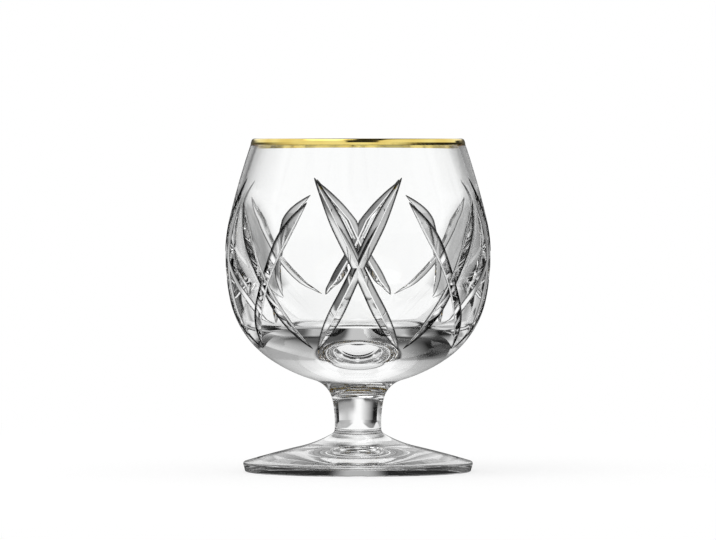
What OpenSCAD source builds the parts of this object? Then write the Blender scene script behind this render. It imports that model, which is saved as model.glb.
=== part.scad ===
// Brandy snifter: a heavy cut crystal bowl on a short stem and a wide foot,
// with a gold band fired over the lip. Millimetres, +Z up, standing on z = 0.
// Every outline is a chain of arcs that run smoothly into each other.

/* [Foot] */
// Diameter of the foot over the corner of its edge, before rounding
foot_d = 80.4; // [70:0.2:88]
// Height of the foot, from the table to the end of the stem
foot_h = 14.8; // [13:0.1:17]
// Height of the foot's outer edge
edge_h = 3.4; // [2.6:0.1:4.4]
// How far the edge leans in towards the table
edge_lean = 0.9; // [0.4:0.1:1.4]
// Rounding where the top of the foot turns over the edge
edge_round = 0.9; // [0.5:0.1:1.2]
// Rounding where the edge meets the table
base_round = 0.6; // [0.3:0.1:0.9]
// Width of the flat ground ring that the glass stands on
ring_w = 5; // [3:0.5:8]
// Height of the hollow under the foot, at the middle
hollow_h = 2.5; // [1.5:0.1:4]
// Profile radius of the tight turn under the stem
neck_r = 2; // [1.6:0.1:2.8]
// Profile radius of the long sweep that follows it
sweep_r = 40; // [34:1:46]
// Profile radius of the swelling towards the edge
crown_r = 330; // [260:10:400]

/* [Stem] */
// Length of the stem, from the foot to the bowl
stem_len = 10.2; // [9:0.2:13]
// Diameter of the stem at its waist
stem_d = 16.1; // [13:0.1:19]
// Height of the waist above the foot
waist_rise = 2; // [1:0.1:4]
// Profile radius of the stem's hollow side
stem_side_r = 40; // [32:1:60]

/* [Bowl] */
// Widest diameter of the bowl
bowl_d = 92.5; // [84:0.5:101]
// Height of the widest level above the stem
belly_rise = 51; // [46:0.5:57]
// Height of the lip above the widest level
lip_rise = 39.85; // [35:0.05:44]
// How far the mouth draws in from the widest level, on the radius
mouth_draw = 9.5; // [7.5:0.25:11.5]
// Profile radius of the shoulder, just above the widest level
shoulder_r = 52; // [45:1:56]
// Profile radius of the wall between the shoulder and the lip
wall_r = 285; // [230:5:350]
// Profile radius of the heel, where the bowl turns under
heel_r = 33.5; // [29:0.5:38]
// Height of the bowl's rounded underside above the stem, on the axis
underside_rise = 4.7; // [3.5:0.1:6.5]

/* [Cavity] */
// Thickness of the wall at the lip
lip_wall = 2.3; // [2.1:0.05:3]
// Thickness from the cavity's widest level to the bowl's, on the radius
belly_wall = 4.2; // [3.6:0.1:5.2]
// How far the cavity's widest level lies above the bowl's
cavity_lift = 8.8; // [7:0.1:10.5]
// Solid glass between the stem and the cavity's floor, on the axis
base_t = 19.8; // [17:0.1:23]
// Profile radius of the cavity's rounded floor
floor_r = 58.5; // [50:0.5:68]
// Profile radius of the turn between the floor and the cavity's side
corner_r = 10.5; // [7:0.5:14]
// Profile radius of the cavity's side, below its widest level
cavity_side_r = 50; // [46:0.5:55]
// Profile radius of the cavity's shoulder
cavity_shoulder_r = 53; // [46:1:58]
// Profile radius of the cavity's wall below the lip
cavity_wall_r = 262; // [220:2:320]

/* [Lip and gold band] */
// Rounding of the fire-polished lip
lip_round = 0.95; // [0.6:0.05:0.98]
// Thickness of the gold
gold_t = 0.15; // [0.1:0.01:0.3]
// Height of the gold band outside
gold_outer_h = 2; // [1.4:0.1:4]
// Height of the gold band inside
gold_inner_h = 1.4; // [1.1:0.1:3]

/* [Cuts] */
// Depth of a mitre cut where it is set
cut_depth = 1.9; // [1.2:0.1:2.4]
// Angle between the two sides of a cut
cut_angle = 106; // [90:1:116]
// Lean of the tall crosses' cuts from the upright
tall_lean = 26; // [22:0.5:28]
// How far the tall crosses' middle lies below the widest level
tall_cross_drop = 4.4; // [2:0.2:7]
// Height of the tall crosses' tips above the widest level
tall_top_rise = 27.2; // [22:0.1:29]
// How far the tall crosses end below the widest level
tall_end_drop = 33.2; // [29:0.1:35]
// Lean of the short crosses' cuts from the upright
short_lean = 28.8; // [25:0.2:31]
// How far the short crosses' middle lies below the widest level
short_cross_drop = 10.5; // [8:0.1:13]
// Height of the short crosses' tips above the widest level
short_top_rise = 18.6; // [15:0.1:22]
// How far the short crosses end below the widest level
short_end_drop = 32.8; // [29:0.1:35]

/* [Hidden] */
$fn = 360;

// Angles, in degrees, at which one arc of a profile hands over to the next
heel_top_angle = 11.5;
heel_end_angle = 55.8;
neck_angle = 57;
// Turn of a cut's upper arc, and how far each arc runs on past its tip
cut_bend = 4;
cut_run_on = 4;
// Crosses around the bowl, tall and short by turns
cross_pairs = 4;
// Where a cut is set, from its cross to its upper tip, and the cutter's height over its depth
cut_set_share = 0.42;
cutter_shares = 2;
// How far below its gold the lip's own outline reaches, over the band's height
lip_reach_shares = 2;
// A tight arc stands this much proud of the arc it runs into, and runs on past it, inside
// the outline, so that the two always cross
lap = 0.003;
lap_run = 4;
lap_depth = 0.6;

foot_r = foot_d / 2;
waist_r = stem_d / 2;
bowl_r = bowl_d / 2;
mouth_r = bowl_r - mouth_draw;
cavity_r = bowl_r - belly_wall;

stem_top = foot_h + stem_len;
floor_z = stem_top + base_t;
belly_z = stem_top + belly_rise;
cavity_z = belly_z + cavity_lift;
lip_z = belly_z + lip_rise;

// The radius, from the axis, of a circle's outer side at a height
function side_r(c, r, z) = c.x + sqrt(r * r - pow(z - c.y, 2));

// The point at an angle on a circle
function on(c, r, a) = c + r * [cos(a), sin(a)];

// Where a circle's edge lies in the direction of a point
function towards(c, r, p) = c + r * (p - c) / norm(p - c);

// Where two circles cross, to the left of the line from the first to the second
function crossing(c1, r1, c2, r2) =
    let (d = norm(c2 - c1), u = (c2 - c1) / d, a = (r1 * r1 - r2 * r2 + d * d) / (2 * d))
    c1 + a * u + sqrt(r1 * r1 - a * a) * [-u.y, u.x];

// Centre of a wall arc that runs smoothly on from a shoulder arc and ends at a point
function wall_centre(c, r, big_r, p) = crossing(c, big_r - r, p, big_r);

// Bowl outside: shoulder and wall above the widest level
mouth = [mouth_r, lip_z];
shoulder_c = [bowl_r - shoulder_r, belly_z];
wall_c = wall_centre(shoulder_c, shoulder_r, wall_r, mouth);
shoulder_end = shoulder_c + shoulder_r * (shoulder_c - wall_c) / norm(shoulder_c - wall_c);

// Bowl outside: a three-centred curve below it, flank, heel and underside
flank_cos = cos(heel_top_angle);
flank_sin = sin(heel_top_angle);
under_cos = cos(heel_end_angle);
under_sin = sin(heel_end_angle);
rest_w = bowl_r - heel_r * (flank_cos - under_cos);
rest_h = belly_rise - underside_rise - heel_r * (under_sin - flank_sin);
rest_det = flank_sin * under_cos - (1 - flank_cos) * (1 - under_sin);
flank_r = (rest_h * under_cos - rest_w * (1 - under_sin)) / rest_det;
under_r = (rest_w * flank_sin - rest_h * (1 - flank_cos)) / rest_det;
flank_c = [bowl_r - flank_r, belly_z];
heel_c = on(flank_c, flank_r - heel_r, -heel_top_angle);
under_c = on(heel_c, heel_r - under_r, -heel_end_angle);
flank_end = on(flank_c, flank_r, -heel_top_angle);
heel_end = on(heel_c, heel_r, -heel_end_angle);

// Stem: one hollow arc, which flares by an angle at each end
stem_c = [waist_r + stem_side_r, foot_h + waist_rise];
foot_flare = asin(waist_rise / stem_side_r);
bowl_flare = asin((stem_len - waist_rise) / stem_side_r);
foot_head = on(stem_c, -stem_side_r, foot_flare);
stem_head = on(stem_c, -stem_side_r, -bowl_flare);

// Fillet that runs on from the stem and touches the underside of the bowl
fillet_dir = [cos(bowl_flare), -sin(bowl_flare)];
head_gap = stem_head - under_c;
fillet_r = (head_gap * head_gap - under_r * under_r) / (2 * (under_r - fillet_dir * head_gap));
fillet_c = stem_head + fillet_r * fillet_dir;
fillet_end = towards(under_c, under_r, fillet_c);

// Cavity: floor, a tighter turn and the side, then shoulder and wall as outside
floor_c = [0, floor_z + floor_r];
cavity_side_c = [cavity_r - cavity_side_r, cavity_z];
corner_c = crossing(floor_c, floor_r - corner_r, cavity_side_c, cavity_side_r - corner_r);
floor_end = towards(floor_c, floor_r, corner_c);
side_end = towards(cavity_side_c, cavity_side_r, corner_c);
cavity_mouth = [mouth_r - lip_wall, lip_z];
cavity_shoulder_c = [cavity_r - cavity_shoulder_r, cavity_z];
cavity_wall_c = wall_centre(cavity_shoulder_c, cavity_shoulder_r, cavity_wall_r, cavity_mouth);
cavity_shoulder_end = cavity_shoulder_c
    + cavity_shoulder_r * (cavity_shoulder_c - cavity_wall_c) / norm(cavity_shoulder_c - cavity_wall_c);

// Lip: a rounding on each side, with a narrow flat between them
round_z = lip_z - lip_round;
outer_round_c = [side_r(wall_c, wall_r - lip_round, round_z), round_z];
inner_round_c = [side_r(cavity_wall_c, cavity_wall_r + lip_round, round_z), round_z];

// Foot: tight turn, long sweep and swelling, then the leaning edge
neck_c = on(foot_head, neck_r, foot_flare);
neck_end = on(neck_c, -neck_r, foot_flare + neck_angle);
sweep_c = on(neck_c, sweep_r - neck_r, foot_flare + neck_angle);
edge_top = [foot_r, edge_h];
crown_c = crossing(edge_top, crown_r, sweep_c, crown_r + sweep_r);
sweep_end = towards(sweep_c, sweep_r, crown_c);
lean = atan(edge_lean / edge_h);
edge_dir = [sin(lean), cos(lean)];
edge_in = [-cos(lean), sin(lean)];
round_from = edge_top + edge_round * edge_in - crown_c;
round_way = round_from * edge_dir;
round_step = sqrt(round_way * round_way - round_from * round_from + pow(crown_r - edge_round, 2))
    - round_way;
edge_round_c = crown_c + round_from + round_step * edge_dir;
base_round_c = [
    foot_r - edge_lean + base_round * tan(lean) - base_round / cos(lean),
    base_round
];
ring_in = base_round_c.x - ring_w;
hollow_r = (ring_in * ring_in + hollow_h * hollow_h) / (2 * hollow_h);
hollow_c = [0, hollow_h - hollow_r];

// The slice of a circle beyond the chord from a to b, with some run past each end
module slice(a, b, c, r, run_a, run_b) {
    middle = (a + b) / 2;
    along = (b - a) / norm(b - a);
    out = (middle - c) / norm(middle - c);
    from = a - run_a * along;
    to = b + run_b * along;
    intersection() {
        translate(c) circle(r);
        polygon([from - lap_depth * out, to - lap_depth * out, to + r * out, from + r * out]);
    }
}

// A closed outline, drawn anticlockwise. Each row is a point and, where an arc ends there,
// the arc's centre, radius and grade. The grade is positive where the arc swells the outline
// and negative where it bites into it, and the tighter of two neighbours has the higher one.
module outline(rows) {
    difference() {
        union() {
            polygon([for (row = rows) row[0]]);
            arcs(rows, 1);
        }
        arcs(rows, -1);
    }
}

function grade(rows, i) = i < len(rows) && len(rows[i]) > 1 ? abs(rows[i][3]) : 1;

module arcs(rows, sense) {
    for (i = [1 : len(rows) - 1])
        if (len(rows[i]) > 1 && rows[i][3] * sense > 0)
            slice(
                rows[i - 1][0], rows[i][0], rows[i][1], rows[i][2] + (grade(rows, i) - 1) * lap,
                grade(rows, i) > grade(rows, i - 1) ? lap_run : 0,
                grade(rows, i) > grade(rows, i + 1) ? lap_run : 0
            );
}

// The lip, grown by a skin: up the wall, over the top and into the cavity
function lip_rows(skin) = [
    [towards(wall_c, wall_r + skin, outer_round_c), wall_c, wall_r + skin, 1],
    [outer_round_c + [0, lip_round + skin], outer_round_c, lip_round + skin, 2],
    [inner_round_c + [0, lip_round + skin]],
    [towards(cavity_wall_c, cavity_wall_r - skin, inner_round_c), inner_round_c, lip_round + skin, 2]
];

// The lip's outline on its own, down to a level
module lip(skin, z) {
    outline(concat(
        [[[side_r(wall_c, wall_r + skin, z), z]]],
        lip_rows(skin),
        [[[side_r(cavity_wall_c, cavity_wall_r - skin, z), z], cavity_wall_c, cavity_wall_r - skin, -1]]
    ));
}

// The bowl's section, from the stem up the outside, over the lip and down the cavity
bowl_rows = concat(
    [
        [[0, stem_top]],
        [stem_head],
        [fillet_end, fillet_c, fillet_r, -2],
        [heel_end, under_c, under_r, 1],
        [flank_end, heel_c, heel_r, 2],
        [[bowl_r, belly_z], flank_c, flank_r, 1],
        [shoulder_end, shoulder_c, shoulder_r, 2]
    ],
    lip_rows(0),
    [
        [cavity_shoulder_end, cavity_wall_c, cavity_wall_r, -1],
        [[cavity_r, cavity_z], cavity_shoulder_c, cavity_shoulder_r, -2],
        [side_end, cavity_side_c, cavity_side_r, -3],
        [floor_end, corner_c, corner_r, -4],
        [[0, floor_z], floor_c, floor_r, -1]
    ]
);

// The bowl's outer radius at a height, without the cuts
function bowl_side_r(z) =
    z > shoulder_end.y ? side_r(wall_c, wall_r, z) :
    z > belly_z ? side_r(shoulder_c, shoulder_r, z) :
    z > flank_end.y ? side_r(flank_c, flank_r, z) :
    z > heel_end.y ? side_r(heel_c, heel_r, z) :
    side_r(under_c, under_r, z);

// The bowl's surface in the plane of a cut that leans from the upright: how far
// out it lies, at a distance up the plane from the middle of the cross
function plane_point(cross_z, lean, up) =
    [sqrt(pow(bowl_side_r(cross_z + up * cos(lean)), 2) - pow(up * sin(lean), 2)), up];

// One stroke of the cutting wheel: a V that is swept along an arc about a hub
module stroke(hub, r, start, turn) {
    h = cut_depth * cutter_shares;
    half_w = h * tan(cut_angle / 2);
    translate(hub)
        rotate_extrude(angle = turn, start = start)
            polygon([[r, 0], [r + h, half_w], [r + h, -half_w]]);
}

// One mitre cut. Its two arcs run smoothly into each other where the wheel is
// set, and each leaves the glass at its own tip.
module mitre(cross_z, lean, top_z, end_z) {
    top = plane_point(cross_z, lean, (top_z - cross_z) / cos(lean));
    end = plane_point(cross_z, lean, (end_z - cross_z) / cos(lean));
    set = plane_point(cross_z, lean, top.y * cut_set_share) - [cut_depth, 0];
    rise = top - set;
    fall = end - set;
    heading = atan2(rise.y, rise.x) - cut_bend / 2;
    out = [sin(heading), -cos(heading)];
    upper_r = norm(rise) / (2 * sin(cut_bend / 2));
    lower_r = -(fall * fall) / (2 * (fall * out));
    lower_turn = 2 * asin(norm(fall) / (2 * lower_r)) + cut_run_on;
    rotate([90 + lean, 0, 0]) {
        stroke(set - upper_r * out, upper_r - lap, heading - 90 - cut_run_on, cut_bend + 2 * cut_run_on);
        stroke(set - lower_r * out, lower_r, heading - 90 - lower_turn, lower_turn);
    }
}

// Two mitre cuts that lean opposite ways
module cross(drop, lean, top_rise, end_drop) {
    cross_z = belly_z - drop;
    translate([0, 0, cross_z])
        for (side = [-1, 1])
            mitre(cross_z, side * lean, belly_z + top_rise, belly_z - end_drop);
}

module crosses() {
    pitch = 360 / cross_pairs;
    for (i = [0 : cross_pairs - 1]) {
        rotate(i * pitch) cross(tall_cross_drop, tall_lean, tall_top_rise, tall_end_drop);
        rotate((i + 1 / 2) * pitch) cross(short_cross_drop, short_lean, short_top_rise, short_end_drop);
    }
}

module bowl() {
    color("aliceblue")
        difference() {
            rotate_extrude() outline(bowl_rows);
            crosses();
        }
}

module stem() {
    color("lightcyan")
        rotate_extrude()
            outline([
                [[0, foot_h]],
                [foot_head],
                [stem_head, stem_c, stem_side_r, -2],
                [[0, stem_top]]
            ]);
}

module foot() {
    color("azure")
        rotate_extrude()
            outline([
                [[0, hollow_h]],
                [[ring_in, 0], hollow_c, hollow_r, -2],
                [[base_round_c.x, 0]],
                [base_round_c - base_round * edge_in, base_round_c, base_round, 2],
                [edge_round_c - edge_round * edge_in],
                [towards(crown_c, crown_r, edge_round_c), edge_round_c, edge_round, 2],
                [sweep_end, crown_c, crown_r, 1],
                [neck_end, sweep_c, sweep_r, -2],
                [foot_head, neck_c, neck_r, -3],
                [[0, foot_h]]
            ]);
}

module gold_rim() {
    outer_z = lip_z - gold_outer_h;
    inner_z = lip_z - gold_inner_h;
    high_z = lip_z + gold_outer_h;
    reach_z = lip_z - lip_reach_shares * max(gold_outer_h, gold_inner_h);
    lip_middle = (outer_round_c.x + inner_round_c.x) / 2;
    color("goldenrod")
        rotate_extrude()
            intersection() {
                difference() {
                    lip(gold_t, reach_z);
                    lip(0, reach_z);
                }
                polygon([
                    [0, high_z], [0, inner_z], [lip_middle, inner_z],
                    [lip_middle, outer_z], [bowl_r, outer_z], [bowl_r, high_z]
                ]);
            }
}

bowl();
stem();
foot();
gold_rim();
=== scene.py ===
# %% [markdown]
# # Cut crystal brandy snifter
# The real glass is a blown bowl, a short drawn stem and a round foot, joined while they are hot. A
# cutter then grinds crossed mitre cuts into the bowl, and a gilder fires a gold band over the lip.
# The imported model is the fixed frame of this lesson. Each piece made here stands exactly where its
# CAD node stands, in metres, so nothing has to be fitted by eye.

# %% Load the frame
import math

import bpy
import numpy as np
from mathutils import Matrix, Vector
from mathutils.kdtree import KDTree


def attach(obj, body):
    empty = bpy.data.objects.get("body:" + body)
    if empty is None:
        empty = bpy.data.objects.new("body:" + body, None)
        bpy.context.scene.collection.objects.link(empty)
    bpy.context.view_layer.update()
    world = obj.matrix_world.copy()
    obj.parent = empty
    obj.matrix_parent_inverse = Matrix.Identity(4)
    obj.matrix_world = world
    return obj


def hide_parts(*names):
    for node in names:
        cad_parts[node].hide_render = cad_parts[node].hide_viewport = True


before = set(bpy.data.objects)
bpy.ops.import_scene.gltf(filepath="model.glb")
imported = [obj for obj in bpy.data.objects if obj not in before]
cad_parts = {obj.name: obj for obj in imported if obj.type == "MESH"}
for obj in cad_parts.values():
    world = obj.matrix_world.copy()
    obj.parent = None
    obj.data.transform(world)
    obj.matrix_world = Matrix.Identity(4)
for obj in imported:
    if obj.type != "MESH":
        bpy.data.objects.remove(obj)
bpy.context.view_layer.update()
print("CAD nodes:", sorted(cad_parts))

# %% [markdown]
# ## The camera
# The photograph looks at the glass almost level, from just under the lip's height. Both ends of the
# bowl show the same curve and the foot is a very flat ellipse, so the camera stands far away with a
# long lens. A shorter lens from closer by would fill the frame as well, but it would open the ellipses.

# %% Camera
camera_distance = 2.3
camera_height = 0.113
aim_height = 0.0702
frame_width = 0.2495
sensor_millimetres = 36

camera_data = bpy.data.cameras.new("camera")
camera_data.sensor_width = sensor_millimetres
camera_data.lens = sensor_millimetres * camera_distance / frame_width
camera = bpy.data.objects.new("camera", camera_data)
camera.location = (0, -camera_distance, camera_height)
look = Vector((0, 0, aim_height)) - camera.location
camera.rotation_euler = look.to_track_quat("-Z", "Y").to_euler()
bpy.context.collection.objects.link(camera)
bpy.context.scene.camera = camera
pitch = math.degrees(math.asin(look.z / look.length))
print("camera lens:", round(camera_data.lens, 1), "mm, pitch:", round(pitch, 2))

# %% [markdown]
# ## Arcs for the outlines
# A glassblower's outline is a chain of arcs that run smoothly into each other. One could trace it
# with a Bezier curve, but then its slope is only nearly right, and glass shows the smallest error
# in slope as a ripple in everything seen through it. So the outlines are worked out as true arcs,
# and each point keeps its exact normal. The helpers below work in the plane of radius and height.

# %% Arc helpers
STEP = 0.0012
TURN_STEP = math.radians(7)


def plane(radius, height):
    return np.array([radius, height], dtype=float)


def spoke(angle):
    return plane(math.cos(angle), math.sin(angle))


def at_angle(centre, radius, degrees):
    return centre + radius * spoke(math.radians(degrees))


def towards(centre, radius, point):
    return centre + radius * (point - centre) / np.linalg.norm(point - centre)


def crossing(first, first_r, second, second_r):
    """Where two circles cross, to the left of the line from the first to the second."""
    gap = np.linalg.norm(second - first)
    way = (second - first) / gap
    along = (first_r**2 - second_r**2 + gap**2) / (2 * gap)
    return first + along * way + math.sqrt(first_r**2 - along**2) * plane(-way[1], way[0])


def arc(centre, radius, start, end, hollow=False, step=STEP):
    """Points along an arc, and the normals there. A hollow arc bites into the glass."""
    first = math.atan2(start[1] - centre[1], start[0] - centre[0])
    last = math.atan2(end[1] - centre[1], end[0] - centre[0])
    turn = (last - first + math.pi) % (2 * math.pi) - math.pi
    count = max(math.ceil(abs(turn) * radius / step), math.ceil(abs(turn) / TURN_STEP), 1)
    angles = first + turn * np.linspace(0, 1, count + 1)
    spokes = np.stack([np.cos(angles), np.sin(angles)], axis=1)
    return centre + radius * spokes, -spokes if hollow else spokes


def flat(start, end, step=STEP):
    """Points along a straight line, with the glass on its left."""
    count = max(math.ceil(np.linalg.norm(end - start) / step), 1)
    way = (end - start) / np.linalg.norm(end - start)
    points = start + np.linspace(0, 1, count + 1)[:, None] * (end - start)
    return points, np.tile(plane(way[1], -way[0]), (count + 1, 1))


# %% [markdown]
# ## Turning an outline into a piece
# Every piece of this glass is round, so it is an outline turned about the upright axis. A Screw
# modifier would do that too. Writing the rings out gives two things that it doesn't: each run of
# the outline can carry its own finish, and each face corner gets the exact normal of its arc. A
# finish is known by its place in a piece's list of materials. The extra one is the ground ring of
# the foot, or the gold on the lip of the bowl.

# %% Revolve
BLOWN, JOINT, EXTRA, CUT = range(4)
SEGMENTS = 288
SEAM_SHARE = 0.31
ON_AXIS = 1e-9
ring_angles = (np.arange(SEGMENTS) + SEAM_SHARE) * 2 * math.pi / SEGMENTS


def lift(normals, angle):
    """Normals in the outline's plane, turned to an angle about the axis."""
    out, up = normals.T
    return np.stack([out * np.cos(angle), out * np.sin(angle), up], axis=1)


def revolve(name, runs, closed):
    """A mesh from runs of (points, normals, finish). The outline goes round anticlockwise."""
    outline, pieces = [], []
    for points, normals, finish in runs:
        first = len(outline) - 1 if outline else 0
        outline.extend(points if not outline else points[1:])
        pieces.extend((first + i, normals[i], normals[i + 1], finish) for i in range(len(points) - 1))
    if closed:
        outline.pop()
    verts, rings = [], []
    for radius, height in outline:
        if radius < ON_AXIS:
            rings.append([len(verts)] * SEGMENTS)
            verts.append((0.0, 0.0, height))
        else:
            rings.append(list(range(len(verts), len(verts) + SEGMENTS)))
            ring_x, ring_y = radius * np.cos(ring_angles), radius * np.sin(ring_angles)
            verts.extend(zip(ring_x, ring_y, [height] * SEGMENTS))
    faces, finishes, corner_normals = [], [], []
    around = np.roll(ring_angles, -1)
    for low, low_normal, high_normal, finish in pieces:
        high = (low + 1) % len(outline)
        low_a, low_b, high_a, high_b = (
            lift(np.tile(normal, (SEGMENTS, 1)), angles)
            for normal in (low_normal, high_normal)
            for angles in (ring_angles, around)
        )
        for j in range(SEGMENTS):
            k = (j + 1) % SEGMENTS
            corners = [
                (rings[low][j], low_a[j]),
                (rings[low][k], low_b[j]),
                (rings[high][k], high_b[j]),
                (rings[high][j], high_a[j]),
            ]
            if rings[low][j] == rings[low][k]:
                corners.pop(0)
            elif rings[high][j] == rings[high][k]:
                corners.pop()
            faces.append([corner[0] for corner in corners])
            corner_normals.extend(corner[1] for corner in corners)
            finishes.append(finish)
    mesh = bpy.data.meshes.new(name)
    mesh.from_pydata(verts, [], faces)
    mesh.polygons.foreach_set("material_index", finishes)
    mesh.polygons.foreach_set("use_smooth", [True] * len(faces))
    mesh.normals_split_custom_set([tuple(normal) for normal in corner_normals])
    mesh.update()
    return mesh


def show(name, runs, finishes, closed=False):
    """Turns an outline into a piece with its finishes, on the part's only body."""
    mesh = revolve(name, runs, closed)
    piece = bpy.data.objects.new(name, mesh)
    bpy.context.collection.objects.link(piece)
    for finish in finishes:
        mesh.materials.append(finish)
    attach(piece, "root")
    print(name, "faces:", len(mesh.polygons), "corners:", len(mesh.loops))
    return piece


# %% [markdown]
# ## A shared polish
# Blown crystal isn't optically flat. Its surface keeps slow waves from the blowing, about a hundredth
# of a millimetre high, and the polish varies a little from place to place. Gold that is fired on it
# shows the same. That is one effect for several finishes, so it is a node group with its own inputs.

# %% Node helpers
def wire(socket, value):
    """Links a socket to another one, or just gives it a value."""
    if isinstance(value, bpy.types.NodeSocket):
        socket.id_data.links.new(value, socket)
    else:
        socket.default_value = value


def add(tree, kind, **settings):
    """A new node, with its settings and with values or links for its inputs."""
    node = tree.nodes.new(kind)
    for key, value in settings.items():
        if key in node.inputs:
            wire(node.inputs[key], value)
        else:
            setattr(node, key, value)
    return node


def noise(place, scale, detail, roughness):
    sizes = dict(Vector=place, Scale=scale, Detail=detail, Roughness=roughness)
    return add(place.id_data, "ShaderNodeTexNoise", **sizes).outputs["Fac"]


def ramp(source, low, high, first, last, way="SMOOTHSTEP"):
    """A step from the first value to the last while the source goes from low to high."""
    node = add(source.id_data, "ShaderNodeMapRange", interpolation_type=way, clamp=True)
    names = ("Value", "From Min", "From Max", "To Min", "To Max")
    for name, value in zip(names, (source, low, high, first, last)):
        wire(node.inputs[name], value)
    return node.outputs["Result"]


def new_group(name, inputs, outputs):
    """A group with named outputs and inputs. An input with no starting number is a vector."""
    group = bpy.data.node_groups.new(name, "ShaderNodeTree")
    for socket, start in inputs.items():
        kind = "NodeSocketVector" if start is None else "NodeSocketFloat"
        made = group.interface.new_socket(socket, in_out="INPUT", socket_type=kind)
        if start is not None:
            made.default_value = start
    for socket in outputs:
        group.interface.new_socket(socket, in_out="OUTPUT", socket_type="NodeSocketFloat")
    print("group:", name, [item.name for item in group.interface.items_tree])
    return group, group.nodes.new("NodeGroupInput").outputs, group.nodes.new("NodeGroupOutput").inputs


# %% Hand polish group
mist_range = (0.35, 0.75)

hand_polish, polish_in, polish_out = new_group(
    "hand polish",
    {"Wave Scale": 45.0, "Mist Scale": 260.0, "Roughness Low": 0.0, "Roughness High": 0.02},
    ["Height", "Roughness"],
)
polish_place = add(hand_polish, "ShaderNodeTexCoord").outputs["Object"]
waves = noise(polish_place, polish_in["Wave Scale"], detail=1.0, roughness=0.4)
mist = noise(polish_place, polish_in["Mist Scale"], detail=3.0, roughness=0.55)
polish_limits = (polish_in["Roughness Low"], polish_in["Roughness High"])
wire(polish_out["Height"], waves)
wire(polish_out["Roughness"], ramp(mist, *mist_range, *polish_limits, way="LINEAR"))

# %% [markdown]
# ## Marks of the wheel, and painted shade at the cut edges
# A mitre cut is ground with a stone wheel and then polished bright, but very fine lines along the cut
# stay. A texture in plain space would run across the cuts, so the cut faces carry a surface value
# that tells how far along and how far across the cut each corner lies, and the lines are drawn in it.
# The polish also eases both edges of a cut, and light that meets such an edge is lost inside the glass.
# That loss is painted in as shade, a thin dark line round every cut, so the faces also carry how deep
# they lie in the bowl.

# %% Wheel marks and painted edge shade group
line_stretch = (0.03, 1.0, 1.0)
line_range = (0.45, 0.8)
dark_share = 0.35


def calc(operation, first, second=0.0):
    """One step of arithmetic. At least one of the two values is a socket."""
    source = first if isinstance(first, bpy.types.NodeSocket) else second
    node = add(source.id_data, "ShaderNodeMath", operation=operation)
    wire(node.inputs[0], first)
    wire(node.inputs[1], second)
    return node.outputs["Value"]


wheel_marks_and_edge_shade, marks_in, marks_and_shade_out = new_group(
    "wheel marks and edge shade",
    {"Lines Per Metre": 5000.0, "Roughness Low": 0.0, "Roughness High": 0.05, "Edge Depth": 0.0008},
    ["Height", "Roughness", "Painted Edge Shade"],
)
cut_way, cut_below = (
    add(wheel_marks_and_edge_shade, "ShaderNodeAttribute", attribute_type="GEOMETRY", attribute_name=name)
    for name in ("cut_way", "cut_below")
)
stretch = add(wheel_marks_and_edge_shade, "ShaderNodeVectorMath", operation="MULTIPLY")
wire(stretch.inputs[0], cut_way.outputs["Vector"])
wire(stretch.inputs[1], line_stretch)
lines = noise(stretch.outputs["Vector"], marks_in["Lines Per Metre"], detail=2.0, roughness=0.5)
marks_limits = (marks_in["Roughness Low"], marks_in["Roughness High"])
edge_depth = marks_in["Edge Depth"]
# A mask of painted shade along the rim of every cut: full down to about a third of the edge depth, gone
# below it.
painted_edge_shade = ramp(cut_below.outputs["Fac"], calc("MULTIPLY", edge_depth, dark_share), edge_depth, 1, 0)
wire(marks_and_shade_out["Height"], lines)
wire(marks_and_shade_out["Roughness"], ramp(lines, *line_range, *marks_limits, way="LINEAR"))
wire(marks_and_shade_out["Painted Edge Shade"], painted_edge_shade)

# %% [markdown]
# ## Crystal
# Lead crystal is heavier and bends light more than window glass: its index is about 1.545. A plain
# Glass shader would do for a render. The Principled shader with full transmission gives the same
# picture. A photographer turns a polarising filter until most of the glare on the glass is gone, so
# that its darks stay dark. A low specular tint does the same here. At the edges of the cuts, the clear
# colour gives way to a dark one: painted shade where light is lost in the glass.

# %% Crystal finishes
CRYSTAL_INDEX = 1.545
CLEAR = (0.996, 0.999, 0.998, 1)
FILTERED = (0.35, 0.35, 0.35, 1)
# Near-black colour of the painted shade at the edges of the cuts.
PAINTED_EDGE_SHADE = (0.004, 0.004, 0.004, 1)
wave_height = 0.00002
ground_height = 0.00001
line_height = 0.000002


def new_finish(name):
    finish = bpy.data.materials.new(name)
    finish.use_nodes = True
    return finish, finish.node_tree, finish.node_tree.nodes["Principled BSDF"]


def crystal(name, group, bump_distance, values):
    """A clear finish whose roughness, fine relief and painted edge shade, if any, come from a group."""
    finish, tree, shader = new_finish(name)
    shader.inputs["Base Color"].default_value = CLEAR
    shader.inputs["Transmission Weight"].default_value = 1
    shader.inputs["IOR"].default_value = CRYSTAL_INDEX
    shader.inputs["Specular Tint"].default_value = FILTERED
    effect = add(tree, "ShaderNodeGroup", node_tree=group, **values)
    bump = add(tree, "ShaderNodeBump", Distance=bump_distance, Height=effect.outputs["Height"])
    wire(shader.inputs["Roughness"], effect.outputs["Roughness"])
    wire(shader.inputs["Normal"], bump.outputs["Normal"])
    # Where the group gives an edge mask, the base colour turns dark there: painted shade where light is
    # lost.
    if "Painted Edge Shade" in effect.outputs:
        colours = dict(A=CLEAR, B=PAINTED_EDGE_SHADE, Factor=effect.outputs["Painted Edge Shade"])
        edge_shade_tint = add(tree, "ShaderNodeMix", data_type="RGBA", **colours)
        wire(shader.inputs["Base Color"], edge_shade_tint.outputs["Result"])
    print("finish:", name)
    return finish


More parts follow.
